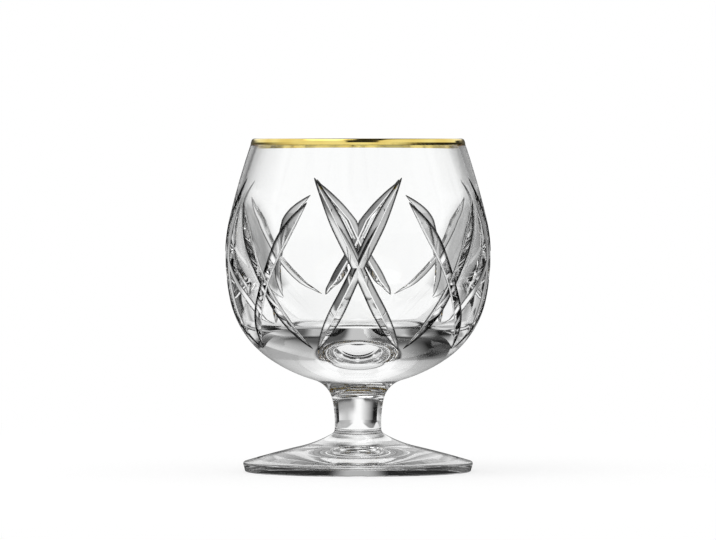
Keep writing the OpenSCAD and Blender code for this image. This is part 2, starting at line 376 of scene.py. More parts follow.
ground_values = {"Mist Scale": 900.0, "Roughness Low": 0.1, "Roughness High": 0.35}
blown_crystal = crystal("blown crystal", hand_polish, wave_height, {"Roughness High": 0.01})
ground_crystal = crystal("ground crystal", hand_polish, ground_height, ground_values)
cut_crystal = crystal("cut crystal", wheel_marks_and_edge_shade, line_height, {"Roughness High": 0.03})

# %% [markdown]
# ## Where hot glass was joined
# Bowl, stem and foot touch along flat faces, but in the real glass nothing shows there: the three
# gathers melted into one. Light has to cross these faces without bending, so they get a finish that
# lets it through untouched. The pieces stay closed, and each can still be used by itself.

# %% Fused joint finish
fused_joint, _, joint_shader = new_finish("fused joint")
joint_shader.inputs["Alpha"].default_value = 0
print("finish:", fused_joint.name, "alpha", joint_shader.inputs["Alpha"].default_value)

# %% [markdown]
# ## Gold
# Bright gold is brushed on as a thin film and fired, so it takes the polish of the glass below. The
# brush leaves slight streaks around the lip, which show as a little more or less colour.

# %% Fired gold finish
fired_gold, gold_tree, gold_shader = new_finish("fired gold")
gold_shader.inputs["Metallic"].default_value = 1
gold_values = {"Wave Scale": 120, "Mist Scale": 700, "Roughness Low": 0.06, "Roughness High": 0.14}
gold_polish = add(gold_tree, "ShaderNodeGroup", node_tree=hand_polish, **gold_values)
streaks = gold_polish.outputs["Height"]
gold_bump = add(gold_tree, "ShaderNodeBump", Distance=wave_height, Height=streaks)
gold_tone = add(gold_tree, "ShaderNodeValToRGB", Fac=streaks)
gold_stops = ((0.3, (0.8, 0.6, 0.16, 1)), (0.7, (0.92, 0.77, 0.27, 1)))
for stop, (position, colour) in zip(gold_tone.color_ramp.elements, gold_stops):
    stop.position = position
    stop.color = colour
wire(gold_shader.inputs["Base Color"], gold_tone.outputs["Color"])
wire(gold_shader.inputs["Roughness"], gold_polish.outputs["Roughness"])
wire(gold_shader.inputs["Normal"], gold_bump.outputs["Normal"])
print("finish:", fired_gold.name)

# %% [markdown]
# ## The stem
# The stem is drawn out of hot glass, so its side is one hollow arc, tightest just above the foot. It
# could stay a straight rod at this size, but then the highlight down its middle would be too even.

# %% Stem
foot_height = 0.0148
stem_top = 0.025
waist_radius = 0.00805
waist_rise = 0.002
stem_side_radius = 0.04

stem_centre = plane(waist_radius + stem_side_radius, foot_height + waist_rise)
foot_flare = math.degrees(math.asin(waist_rise / stem_side_radius))
bowl_flare = math.degrees(math.asin((stem_top - foot_height - waist_rise) / stem_side_radius))
foot_head = at_angle(stem_centre, stem_side_radius, 180 + foot_flare)
stem_head = at_angle(stem_centre, stem_side_radius, 180 - bowl_flare)
stem_runs = [
    (*flat(plane(0, foot_height), foot_head), JOINT),
    (*arc(stem_centre, stem_side_radius, foot_head, stem_head, hollow=True), BLOWN),
    (*flat(stem_head, plane(0, stem_top)), JOINT),
]
stem = show("stem_crystal", stem_runs, [blown_crystal, fused_joint])
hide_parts("stem")

# %% [markdown]
# ## The foot
# The foot is pressed and spun flat: a tight turn under the stem, a long sweep, then a very gentle
# swelling out to a leaning edge. Underneath, it is hollow inside a flat ring that the cutter grinds
# so that the glass stands firm. The photograph shows the foot only from above, so the hollow is
# the usual one for such a glass.

# %% Foot outline
neck_radius = 0.002
neck_turn = 57
sweep_radius = 0.04
crown_radius = 0.33
foot_radius = 0.0402
edge_height = 0.0034
edge_lean = 0.0009
edge_round = 0.0009
base_round = 0.0006
ring_width = 0.005
hollow_height = 0.0025

neck_centre = at_angle(foot_head, neck_radius, foot_flare)
neck_end = at_angle(neck_centre, neck_radius, 180 + foot_flare + neck_turn)
sweep_centre = at_angle(neck_centre, neck_radius - sweep_radius, 180 + foot_flare + neck_turn)
edge_top = plane(foot_radius, edge_height)
crown_centre = crossing(edge_top, crown_radius, sweep_centre, crown_radius + sweep_radius)
sweep_end = towards(sweep_centre, sweep_radius, crown_centre)
lean = math.atan2(edge_lean, edge_height)
edge_way = plane(math.sin(lean), math.cos(lean))
edge_inward = plane(-math.cos(lean), math.sin(lean))
round_start = edge_top + edge_round * edge_inward - crown_centre
round_way = round_start @ edge_way
round_room = (crown_radius - edge_round) ** 2 - round_start @ round_start
round_step = math.sqrt(round_way**2 + round_room) - round_way
edge_centre = crown_centre + round_start + round_step * edge_way
base_inset = base_round * (1 / math.cos(lean) - math.tan(lean))
base_centre = plane(foot_radius - edge_lean - base_inset, base_round)
ring_inside = base_centre[0] - ring_width
hollow_radius = (ring_inside**2 + hollow_height**2) / (2 * hollow_height)
hollow_centre = plane(0, hollow_height - hollow_radius)
edge_low = base_centre - base_round * edge_inward
edge_high = edge_centre - edge_round * edge_inward
crown_end = towards(crown_centre, crown_radius, edge_centre)
print("standing ring in metres:", round(ring_inside, 5), "to", round(base_centre[0], 5))

# %% Foot
hollow_top = plane(0, hollow_height)
ring_in = plane(ring_inside, 0)
ring_out = plane(base_centre[0], 0)
foot_runs = [
    (*arc(hollow_centre, hollow_radius, hollow_top, ring_in, hollow=True), BLOWN),
    (*flat(ring_in, ring_out), EXTRA),
    (*arc(base_centre, base_round, ring_out, edge_low), BLOWN),
    (*flat(edge_low, edge_high), BLOWN),
    (*arc(edge_centre, edge_round, edge_high, crown_end), BLOWN),
    (*arc(crown_centre, crown_radius, crown_end, sweep_end), BLOWN),
    (*arc(sweep_centre, sweep_radius, sweep_end, neck_end, hollow=True), BLOWN),
    (*arc(neck_centre, neck_radius, neck_end, foot_head, hollow=True), BLOWN),
    (*flat(foot_head, plane(0, foot_height)), JOINT),
]
foot_finishes = [blown_crystal, fused_joint, ground_crystal]
foot = show("foot_crystal", foot_runs, foot_finishes)
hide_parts("foot")

# %% [markdown]
# ## The bowl's outline
# The outside is a fillet, a broad underside, a heel and a flank up to the widest level, then a
# shoulder and a nearly straight wall that draws in to the lip. The cavity follows it at a distance: the
# wall is thin at the lip and the base is very thick, which is what makes the glass heavy in the hand
# and gives the deep, busy reflections low in the bowl.

# %% Bowl outside
belly_height = 0.076
lip_height = 0.11585
belly_radius = 0.04625
mouth_radius = 0.03675
shoulder_radius = 0.052
wall_radius = 0.285
heel_radius = 0.0335
underside_rise = 0.0047
heel_top_angle = 11.5
heel_end_angle = 55.8

mouth = plane(mouth_radius, lip_height)
belly = plane(belly_radius, belly_height)
shoulder_centre = plane(belly_radius - shoulder_radius, belly_height)
wall_centre = crossing(shoulder_centre, wall_radius - shoulder_radius, mouth, wall_radius)
shoulder_end = towards(shoulder_centre, -shoulder_radius, wall_centre)
top_cos, top_sin = spoke(math.radians(heel_top_angle))
end_cos, end_sin = spoke(math.radians(heel_end_angle))
rest_width = belly_radius - heel_radius * (top_cos - end_cos)
rest_height = belly_height - stem_top - underside_rise - heel_radius * (end_sin - top_sin)
mixed = top_sin * end_cos - (1 - top_cos) * (1 - end_sin)
flank_radius = (rest_height * end_cos - rest_width * (1 - end_sin)) / mixed
under_radius = (rest_width * top_sin - rest_height * (1 - top_cos)) / mixed
flank_centre = plane(belly_radius - flank_radius, belly_height)
heel_centre = at_angle(flank_centre, flank_radius - heel_radius, -heel_top_angle)
under_centre = at_angle(heel_centre, heel_radius - under_radius, -heel_end_angle)
flank_end = at_angle(flank_centre, flank_radius, -heel_top_angle)
heel_end = at_angle(heel_centre, heel_radius, -heel_end_angle)
head_gap = stem_head - under_centre
fillet_way = spoke(-math.radians(bowl_flare))
fillet_radius = (head_gap @ head_gap - under_radius**2) / (2 * (under_radius - fillet_way @ head_gap))
fillet_centre = stem_head + fillet_radius * fillet_way
fillet_end = towards(under_centre, under_radius, fillet_centre)
solved = (flank_radius, under_radius, fillet_radius)
print("flank, underside and fillet radii in metres:", [round(radius, 5) for radius in solved])

# %% Bowl cavity
lip_wall = 0.0023
belly_wall = 0.0042
cavity_height = 0.0848
floor_height = 0.0448
bottom_radius = 0.0585
corner_radius = 0.0105
cavity_side_radius = 0.05
cavity_shoulder_radius = 0.053
cavity_wall_radius = 0.262

cavity_radius = belly_radius - belly_wall
cavity_belly = plane(cavity_radius, cavity_height)
cavity_mouth = plane(mouth_radius - lip_wall, lip_height)
cavity_floor = plane(0, floor_height)
bottom_centre = plane(0, floor_height + bottom_radius)
cavity_side_centre = plane(cavity_radius - cavity_side_radius, cavity_height)
corner_centre = crossing(
    bottom_centre, bottom_radius - corner_radius, cavity_side_centre, cavity_side_radius - corner_radius
)
bottom_end = towards(bottom_centre, bottom_radius, corner_centre)
side_end = towards(cavity_side_centre, cavity_side_radius, corner_centre)
cavity_shoulder_centre = plane(cavity_radius - cavity_shoulder_radius, cavity_height)
cavity_wall_centre = crossing(
    cavity_shoulder_centre, cavity_wall_radius - cavity_shoulder_radius, cavity_mouth, cavity_wall_radius
)
cavity_shoulder_end = towards(cavity_shoulder_centre, -cavity_shoulder_radius, cavity_wall_centre)
print("cavity's corner in metres, from", bottom_end.round(5), "to", side_end.round(5))

# %% Lip
FINE_STEP = 0.0004
lip_round = 0.00095
gold_outer_height = 0.002
gold_inner_height = 0.0014


def side_point(centre, radius, height):
    return plane(centre[0] + math.sqrt(radius**2 - (height - centre[1]) ** 2), height)


round_level = lip_height - lip_round
outer_round_centre = side_point(wall_centre, wall_radius - lip_round, round_level)
inner_round_centre = side_point(cavity_wall_centre, cavity_wall_radius + lip_round, round_level)


def lip_runs(skin, outer_height, inner_height, finish):
    """The lip, grown by a skin: up the wall, over the top and into the cavity."""
    outer, inner, turn = wall_radius + skin, cavity_wall_radius - skin, lip_round + skin
    outer_low = side_point(wall_centre, outer, outer_height)
    outer_high = towards(wall_centre, outer, outer_round_centre)
    inner_high = towards(cavity_wall_centre, inner, inner_round_centre)
    inner_low = side_point(cavity_wall_centre, inner, inner_height)
    outer_top = outer_round_centre + plane(0, turn)
    inner_top = inner_round_centre + plane(0, turn)
    return [
        (*arc(wall_centre, outer, outer_low, outer_high, step=FINE_STEP), finish),
        (*arc(outer_round_centre, turn, outer_high, outer_top), finish),
        (*flat(outer_top, inner_top), finish),
        (*arc(inner_round_centre, turn, inner_top, inner_high), finish),
        (*arc(cavity_wall_centre, inner, inner_high, inner_low, True, FINE_STEP), finish),
    ]


gold_outer_end = lip_height - gold_outer_height
gold_inner_end = lip_height - gold_inner_height
gilded_lip = lip_runs(0, gold_outer_end, gold_inner_end, EXTRA)
band_low = gilded_lip[0][0][0]
band_end = gilded_lip[-1][0][-1]
print("gold covers the lip from", band_low.round(5), "to", band_end.round(5))

# %% Turn the uncut bowl
WALL_STEP = 0.0016

cavity_wall = arc(cavity_wall_centre, cavity_wall_radius, band_end, cavity_shoulder_end, True, WALL_STEP)
cavity_shoulder = arc(
    cavity_shoulder_centre, cavity_shoulder_radius, cavity_shoulder_end, cavity_belly, hollow=True
)
bowl_runs = [
    (*flat(plane(0, stem_top), stem_head), JOINT),
    (*arc(fillet_centre, fillet_radius, stem_head, fillet_end, hollow=True), BLOWN),
    (*arc(under_centre, under_radius, fillet_end, heel_end), BLOWN),
    (*arc(heel_centre, heel_radius, heel_end, flank_end), BLOWN),
    (*arc(flank_centre, flank_radius, flank_end, belly), BLOWN),
    (*arc(shoulder_centre, shoulder_radius, belly, shoulder_end), BLOWN),
    (*arc(wall_centre, wall_radius, shoulder_end, band_low, step=WALL_STEP), BLOWN),
    *gilded_lip,
    (*cavity_wall, BLOWN),
    (*cavity_shoulder, BLOWN),
    (*arc(cavity_side_centre, cavity_side_radius, cavity_belly, side_end, hollow=True), BLOWN),
    (*arc(corner_centre, corner_radius, side_end, bottom_end, hollow=True), BLOWN),
    (*arc(bottom_centre, bottom_radius, bottom_end, cavity_floor, hollow=True), BLOWN),
]
bowl_finishes = [blown_crystal, fused_joint, fired_gold, cut_crystal]
bowl = show("bowl_crystal", bowl_runs, bowl_finishes)
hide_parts("bowl")

# %% [markdown]
# ## The mitre cuts
# A mitre cut is a V ground with the edge of a wheel. It starts at a point, gets wider as the wheel
# bites, and runs out to a point again. Here each cut is a V swept along two arcs that meet smoothly, in
# a plane that leans from the upright. Painting the cuts as bump would be far less work, but only real
# facets split the view into the bright and grey strips that make cut crystal look cut.

# %% Path of a cut
cut_depth = 0.0019
cut_half_angle = math.radians(53)
cut_tip_round = 0.0005
cut_bend = 4
cut_run_on = 4
cut_set_share = 0.42


def bowl_side(height):
    for start, centre, radius in (
        (shoulder_end[1], wall_centre, wall_radius),
        (belly_height, shoulder_centre, shoulder_radius),
        (flank_end[1], flank_centre, flank_radius),
        (heel_end[1], heel_centre, heel_radius),
    ):
        if height > start:
            return side_point(centre, radius, height)[0]
    return side_point(under_centre, under_radius, height)[0]


class Mitre:
    """One cut: its leaning plane, its two arcs and its V."""

    def __init__(self, azimuth, lean_degrees, cross_height, top_height, end_height):
        cos, sin = spoke(math.radians(azimuth))
        lean_cos, lean_sin = spoke(math.radians(lean_degrees))
        spin = np.array([[cos, -sin, 0], [sin, cos, 0], [0, 0, 1]])
        out = [1, 0, 0]
        up = [0, -lean_sin, lean_cos]
        across = [0, -lean_cos, -lean_sin]
        self.axes = spin @ np.array([out, up, across]).T
        self.origin = np.array([0, 0, cross_height])

        def surface(rise):
            radius = bowl_side(cross_height + rise * lean_cos)
            return plane(math.sqrt(radius**2 - (rise * lean_sin) ** 2), rise)

        top = surface((top_height - cross_height) / lean_cos)
        end = surface((end_height - cross_height) / lean_cos)
        self.set = surface(top[1] * cut_set_share) - plane(cut_depth, 0)
        rise, fall = top - self.set, end - self.set
        half_bend = math.radians(cut_bend / 2)
        self.heading = math.atan2(rise[1], rise[0]) - half_bend
        bite = plane(math.sin(self.heading), -math.cos(self.heading))
        self.upper_r = np.linalg.norm(rise) / (2 * math.sin(half_bend))
        self.lower_r = -(fall @ fall) / (2 * (fall @ bite))
        self.upper_hub = self.set - self.upper_r * bite
        self.lower_hub = self.set - self.lower_r * bite
        lower_bend = 2 * math.asin(np.linalg.norm(fall) / (2 * self.lower_r))
        self.lower_turn = lower_bend + math.radians(cut_run_on)
        self.upper_turn = math.radians(cut_bend + cut_run_on)


tall = dict(lean_degrees=26, cross_height=0.0716, top_height=0.1032, end_height=0.0428)
short = dict(lean_degrees=28.8, cross_height=0.0655, top_height=0.0946, end_height=0.0432)
cross_count = 8
mitres = []
for i in range(cross_count):
    for side in (-1, 1):
        cut_sizes = dict(short if i % 2 else tall)
        cut_sizes["lean_degrees"] *= side
        mitres.append(Mitre(360 / cross_count * i, **cut_sizes))
first_arcs = (mitres[0].upper_r, mitres[0].lower_r)
print("mitre cuts:", len(mitres), "first arcs in metres:", [round(radius, 4) for radius in first_arcs])

# %% Cutting tool for each mitre
tip_points = 7
tool_height = 2 * cut_depth

v_cos, v_sin = spoke(cut_half_angle)
tip_drop = cut_tip_round / v_sin
tip_half_width = cut_tip_round * v_cos
tip_end = math.pi / 2 - cut_half_angle
tool_half_width = tool_height * math.tan(cut_half_angle)
tool_section = [(tool_height, -tool_half_width)]
for angle in np.linspace(-tip_end, tip_end, tip_points):
    tool_section.append((tip_drop - cut_tip_round * math.cos(angle), cut_tip_round * math.sin(angle)))
tool_section.append((tool_height, tool_half_width))


def tool_mesh(mitre):
    middle = mitre.heading - math.pi / 2
    lower_count = math.ceil(mitre.lower_turn * mitre.lower_r / STEP)
    upper_count = math.ceil(mitre.upper_turn * mitre.upper_r / STEP)
    lower = middle + np.linspace(-mitre.lower_turn, 0, lower_count)
    upper = middle + np.linspace(0, mitre.upper_turn, upper_count)
    stations = [(mitre.lower_hub, mitre.lower_r, angle) for angle in lower]
    stations += [(mitre.upper_hub, mitre.upper_r, angle) for angle in upper[1:]]
    verts = []
    for hub, radius, angle in stations:
        for depth, width in tool_section:
            out, up = hub + (radius + depth) * spoke(angle)
            verts.append(mitre.origin + mitre.axes @ np.array([out, up, width]))
    n = len(tool_section)
    faces = [list(range(n))[::-1], list(range((len(stations) - 1) * n, len(stations) * n))]
    for low in range(0, (len(stations) - 1) * n, n):
        for j in range(n):
            k = (j + 1) % n
            faces.append([low + j, low + k, low + n + k, low + n + j])
    mesh = bpy.data.meshes.new("cutting tool")
    mesh.from_pydata(verts, [], faces)
    mesh.polygons.foreach_set("material_index", [CUT] * len(faces))
    mesh.update()
    return mesh


tools = []
for mitre in mitres:
    tool = bpy.data.objects.new("cutting tool", tool_mesh(mitre))
    for finish in bowl.data.materials:
        tool.data.materials.append(finish)
    bpy.context.collection.objects.link(tool)
    tools.append(tool)
print("cutting tools:", len(tools), "faces each:", len(tools[0].data.polygons))

# %% Cut the bowl
for tool in tools:
    grind = bowl.modifiers.new("grind", "BOOLEAN")
    grind.operation = "DIFFERENCE"
    grind.solver = "MANIFOLD"
    grind.material_mode = "INDEX"
    grind.object = tool
ready = bowl.evaluated_get(bpy.context.evaluated_depsgraph_get())
cut_mesh = bpy.data.meshes.new_from_object(ready)
bowl.modifiers.clear()
bowl.data = cut_mesh
cut_mesh.name = "bowl_crystal"
for tool in tools:
    bpy.data.objects.remove(tool)
print("cut bowl faces:", len(cut_mesh.polygons), "finishes:", [m.name for m in cut_mesh.materials])

# %% [markdown]
# ## Exact normals after cutting
# A boolean leaves long, uneven faces beside the cuts, and averaged normals would ripple there. The true
# normal is known everywhere: on the turned surfaces from the nearest arc, and in a cut from its V. So
# each face corner is given the true one.

# %% Read the cut mesh
def read(items, name, width=1, kind=float):
    values = np.empty(len(items) * width, dtype=kind)
    items.foreach_get(name, values)
    return values.reshape(-1, width) if width > 1 else values


face_count, corner_count = len(cut_mesh.polygons), len(cut_mesh.loops)
places = read(cut_mesh.vertices, "co", 3)
corner_vertex = read(cut_mesh.loops, "vertex_index", kind=np.int32)
corner_totals = read(cut_mesh.polygons, "loop_total", kind=np.int32)
face_finish = read(cut_mesh.polygons, "material_index", kind=np.int32)
face_normals = read(cut_mesh.polygons, "normal", 3)
face_centres = read(cut_mesh.polygons, "center", 3)
corner_face = np.repeat(np.arange(face_count), corner_totals)
print("cut faces:", int((face_finish == CUT).sum()), "of", face_count)

# %% Normals on the turned surfaces
arc_samples = 12

arc_points, arc_normals = [], []
for points, normals, finish in bowl_runs:
    if finish == JOINT:
        continue
    for i in range(len(points) - 1):
        for t in np.linspace(0, 1, arc_samples, endpoint=False):
            arc_points.append((1 - t) * points[i] + t * points[i + 1])
            arc_normals.append((1 - t) * normals[i] + t * normals[i + 1])
arc_normals = np.array(arc_normals)
arc_normals /= np.linalg.norm(arc_normals, axis=1)[:, None]
on_arcs = KDTree(len(arc_points))
for i, point in enumerate(arc_points):
    on_arcs.insert((point[0], point[1], 0), i)
on_arcs.balance()
vertex_radius = np.hypot(places[:, 0], places[:, 1])
nearest = np.array([on_arcs.find((r, z, 0))[1] for r, z in zip(vertex_radius, places[:, 2])])
outline_normal = arc_normals[nearest]
vertex_angle = np.arctan2(places[:, 1], places[:, 0])
turned_normal = lift(outline_normal, vertex_angle)
corner_normal = turned_normal[corner_vertex]
joint_corners = face_finish[corner_face] == JOINT
corner_normal[joint_corners] = (0, 0, -1)
print("turned corners:", int((face_finish[corner_face] != CUT).sum()))


# %% Normals in the cuts
def in_cut(mitre, points):
    """How far along, out of and across its V each point lies, and the way out of the V there."""
    local = (points - mitre.origin) @ mitre.axes
    upper = (local[:, :2] - mitre.set) @ spoke(mitre.heading) > 0
    hub = np.where(upper[:, None], mitre.upper_hub, mitre.lower_hub)
    radius = np.where(upper, mitre.upper_r, mitre.lower_r)
    arm = local[:, :2] - hub
    length = np.linalg.norm(arm, axis=1)
    way = arm / length[:, None]
    along = radius * (np.arctan2(way[:, 1], way[:, 0]) - mitre.heading + math.pi / 2)
    return along, length - radius, local[:, 2], way


def v_normal(mitre, points):
    """The V's normal at each point, and how far the point lies from the V."""
    _, depth, across, way = in_cut(mitre, points)
    rounded = np.abs(across) < tip_half_width
    out_part = np.where(rounded, (tip_drop - depth) / cut_tip_round, v_sin)
    across_part = np.where(rounded, -across / cut_tip_round, -np.sign(across) * v_cos)
    tip_miss = np.abs(np.hypot(tip_drop - depth, across) - cut_tip_round)
    side_miss = np.abs(depth * v_sin - np.abs(across) * v_cos)
    miss = np.where(rounded, tip_miss, side_miss)
    local = np.stack([way[:, 0] * out_part, way[:, 1] * out_part, across_part], axis=1)
    world = local @ mitre.axes.T
    return world / np.linalg.norm(world, axis=1)[:, None], miss


turn_weight = 0.001
cut_spacing = 0.01

cut_faces = np.flatnonzero(face_finish == CUT)
scores = []
for mitre in mitres:
    guess, miss = v_normal(mitre, face_centres[cut_faces])
    scores.append(miss + turn_weight * (1 - np.sum(guess * face_normals[cut_faces], axis=1)))
scores = np.array(scores)
owner = np.full(face_count, -1)
owner[cut_faces] = scores.argmin(axis=0)
corner_owner = owner[corner_face]
cut_way_values = np.zeros((corner_count, 3))
for number, mitre in enumerate(mitres):
    mine = np.flatnonzero(corner_owner == number)
    points = places[corner_vertex[mine]]
    corner_normal[mine] = v_normal(mitre, points)[0]
    along, _, across, _ = in_cut(mitre, points)
    apart = np.full(len(mine), cut_spacing * number)
    cut_way_values[mine] = np.stack([along, across, apart], axis=1)
print("largest miss of a cut face in metres:", round(float(scores.min(axis=0).max()), 7))

# %% Write the normals and the way along each cut
cut_mesh.polygons.foreach_set("use_smooth", [True] * face_count)
cut_mesh.normals_split_custom_set([tuple(normal) for normal in corner_normal])
way_layer = cut_mesh.attributes.new("cut_way", "FLOAT_VECTOR", "CORNER")
way_layer.data.foreach_set("vector", cut_way_values.ravel())
below = np.zeros(len(places))
for i in np.unique(corner_vertex[corner_owner >= 0]):
    below[i] = max(bowl_side(places[i, 2]) - vertex_radius[i], 0)
below_layer = cut_mesh.attributes.new("cut_below", "FLOAT", "CORNER")
below_layer.data.foreach_set("value", below[corner_vertex])
cut_mesh.update()
worst = np.sum(corner_normal * face_normals[corner_face], axis=1).min()
print("least agreement of a corner's normal with its face:", round(float(worst), 4))

# %% [markdown]
# ## The gold band
# The gold is a film over the lip, outside, on top and a little way inside. It follows the lip's own
# arcs, a fraction of a millimetre proud, and thins out at both ends as a brushed film does, more
# slowly outside. There it meets the bare wall without a step that would catch the light.

# %% Gold band
gold_thickness = 0.00015
gold_gap = 0.000004
gold_taper = 0.0008
gold_inner_taper = 0.0002

skin_ends = (gold_outer_end + gold_taper, gold_inner_end + gold_inner_taper)
skin = lip_runs(gold_thickness, *skin_ends, 0)
seat = lip_runs(gold_gap, gold_outer_end, gold_inner_end, 0)
back = [(points[::-1], -normals[::-1], finish) for points, normals, finish in seat[::-1]]
gold_runs = [
    *skin,
    (*flat(skin[-1][0][-1], back[0][0][0]), 0),
    *back,
    (*flat(back[-1][0][-1], skin[0][0][0]), 0),
]
gold = show("gold_band", gold_runs, [fired_gold], closed=True)
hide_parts("gold_rim")

# %% [markdown]
# ## The studio around the glass
# Glass has no colour of its own: it shows the room. A glass photographer lights a white lane behind
# the glass, stands grey cards on one side of it and black flags on the other, out of the picture, and
# the cuts turn those into their strips. One such set would do for one picture. Here it stands once in
# every quarter, so that the glass looks right from all sides. The backdrop and the floor both have to
# know where they lie in their quarter, so that is a group.

# %% Studio quarter group
lane_bearing = 0.5

quarter, quarter_in, quarter_out = new_group(
    "studio quarter", {"Place": None}, ["Bearing", "Reach", "Off Lane", "Off Corner"]
)
place_x, place_y, _ = add(quarter, "ShaderNodeSeparateXYZ", Vector=quarter_in["Place"]).outputs
azimuth = calc("ARCTAN2", place_y, place_x)
turns = calc("ADD", calc("DIVIDE", azimuth, math.pi / 2), lane_bearing)
bearing = calc("SUBTRACT", turns, calc("FLOOR", turns))
aside = calc("ABSOLUTE", calc("SUBTRACT", bearing, lane_bearing))
aside_angle = calc("MULTIPLY", aside, math.pi / 2)
corner_angle = calc("SUBTRACT", math.pi / 4, aside_angle)
reach = calc("SQRT", calc("ADD", calc("POWER", place_x, 2.0), calc("POWER", place_y, 2.0)))
off_lane = calc("MULTIPLY", reach, calc("SINE", aside_angle))
off_corner = calc("MULTIPLY", reach, calc("SINE", corner_angle))
for socket, value in zip(quarter_out, (bearing, reach, off_lane, off_corner)):
    wire(socket, value)
print("quarter's parts:", [socket.name for socket in quarter_out if socket.is_linked])


# %% Tones by bearing
def choose(share, first, second):
    """The first value where the share is zero, the second where it is one."""
    node = add(share.id_data, "ShaderNodeMix", data_type="FLOAT", Factor=share, A=first, B=second)
    return node.outputs["Result"]


def by_bearing(bearing, tones):
    """Grey tones at bearings in degrees, from the cards at minus 45 past the lane to the flags at 45."""
    node = add(bearing.id_data, "ShaderNodeValToRGB", Fac=bearing)
    spots = node.color_ramp.elements
    spots[0].position, spots[1].position = 0, 1
    for degrees, _ in tones[1:-1]:
        spots.new(lane_bearing + degrees / 90)
    for spot, (_, tone) in zip(spots, tones):
        spot.color = (tone, tone, tone, 1)
    return node.outputs["Color"]


# %% [markdown]
# ## The floor
# The photograph has a white sweep with hardly a shadow. To the camera the floor is mostly a white
# card, so it fades into the backdrop, and near the glass partly a plain matt surface, which keeps the
# soft shadow under the foot. Seen through the glass, it has a white lane that opens away from the foot,
# paler lanes at the corners and painted shadow: a grey ring under the foot, a dark ring at the foot's
# edge and a dark disc under the stem. These draw the dark rim of the foot and the grey in the stem.
# In mirrors, the floor is much dimmer.

# %% Floor
floor_reach = 6.0
floor_rim = 96

floor_mesh = bpy.data.meshes.new("floor")
floor_angles = np.linspace(0, 2 * math.pi, floor_rim, endpoint=False)
floor_points = [(*(floor_reach * spoke(angle)), 0) for angle in floor_angles]
floor_mesh.from_pydata(floor_points, [], [range(floor_rim)])
floor = bpy.data.objects.new("floor", floor_mesh)
bpy.context.collection.objects.link(floor)
print("floor radius:", floor_reach, "m")

# %% Tones of the floor
floor_tones = [(-45, 0.4), (-16, 0.5), (-7, 1), (7, 1), (14, 0.5), (28, 0.02), (45, 0.005)]
near_tones = [(-45, 0.4), (-25, 0.5), (25, 0.3), (45, 0.01)]
near_end = (0.2, 0.6)
lane_opening = (0.05, 0.085)
lane_halves = (0.01, 0.045)
lane_spread = 0.05
lane_blur = (-0.008, 0.012)
corner_tones = (0.85, 0.5)
corner_seam = (-0.0005, 0.0005)
corner_blur = (0.03, 0.05)
corner_end = (0.5, 0.75)
# Painted shadow round and under the foot: a dark ring at its edge, a grey ring under it, a dark disc
# under the stem.
shadow_ring_tones = (0.02, 0.45)
edge_lane_blur = (0.0008, 0.0028)
edge_end = (0.0425, 0.05)
rim_shade_tone, rim_end = 0.75, (0.037, 0.0395)
under_tone, under_end = 0.95, (0.022, 0.028)
stem_shadow_tone, stem_end = 0.01, (0.009, 0.0105)

paper, paper_tree, paper_shader = new_finish("white paper")
paper_place = add(paper_tree, "ShaderNodeTexCoord").outputs["Object"]
paper_x, paper_y, _ = add(paper_tree, "ShaderNodeSeparateXYZ", Vector=paper_place).outputs
paper_quarter = add(paper_tree, "ShaderNodeGroup", node_tree=quarter, Place=paper_place)
paper_bearing, paper_reach, beside, across_corner = paper_quarter.outputs


def ring(end, inside, outside):
    """One tone on the floor inside a ring, another outside it."""
    return choose(ramp(paper_reach, *end, 0, 1), inside, outside)


far_tone = by_bearing(paper_bearing, floor_tones)
base_tone = ring(near_end, by_bearing(paper_bearing, near_tones), far_tone)
opening = ramp(paper_reach, *lane_opening, *lane_halves)
half_lane = calc("ADD", opening, calc("MULTIPLY", paper_reach, lane_spread))
lane = ramp(calc("SUBTRACT", beside, half_lane), *lane_blur, 1, 0)
corner_reach = ramp(paper_reach, *corner_end, 1, 0)
corner_lane = calc("MULTIPLY", ramp(across_corner, *corner_blur, 1, 0), corner_reach)
corner_tone = ramp(calc("MULTIPLY", paper_x, paper_y), *corner_seam, *corner_tones)
with_corners = choose(corner_lane, base_tone, corner_tone)
# The dark ring at the foot's edge is painted shadow, lighter where a lane crosses it.
foot_edge_shadow = choose(ramp(beside, *edge_lane_blur, 1, 0), *shadow_ring_tones)
bent_tone = ring(edge_end, foot_edge_shadow, choose(lane, with_corners, 1.0))
# Rings of one tone each: painted shade in grey under the foot's standing ring, near white inside it, and
# a painted shadow under the stem.
for end, tone in ((rim_end, rim_shade_tone), (under_end, under_tone), (stem_end, stem_shadow_tone)):
    bent_tone = ring(end, tone, bent_tone)
print("tones of the floor:", floor_tones)

# %% Floor finish
mirror_share = 0.2
paper_white = (0.93, 0.93, 0.93, 1)
card_reach = (0.1, 0.4)
card_shares = (0.65, 1.0)

paper_shader.inputs["Base Color"].default_value = paper_white
paper_shader.inputs["Roughness"].default_value = 0.9
paper_rays = add(paper_tree, "ShaderNodeLightPath").outputs
camera_ray = paper_rays["Is Camera Ray"]
bent_ray = paper_rays["Is Transmission Ray"]
seen_tone = calc("MULTIPLY", bent_tone, choose(bent_ray, mirror_share, 1.0))
paper_card = add(paper_tree, "ShaderNodeEmission", Color=choose(camera_ray, seen_tone, 1.0))
aside_ray = calc("MAXIMUM", paper_rays["Is Glossy Ray"], bent_ray)
straight = calc("MULTIPLY", camera_ray, ramp(paper_reach, *card_reach, *card_shares))
paper_mix = add(paper_tree, "ShaderNodeMixShader", Fac=calc("MAXIMUM", aside_ray, straight))
wire(paper_mix.inputs[1], paper_shader.outputs["BSDF"])
wire(paper_mix.inputs[2], paper_card.outputs["Emission"])
wire(paper_tree.nodes["Material Output"].inputs["Surface"], paper_mix.outputs["Shader"])
floor_mesh.materials.append(paper)
print("finish:", paper.name)

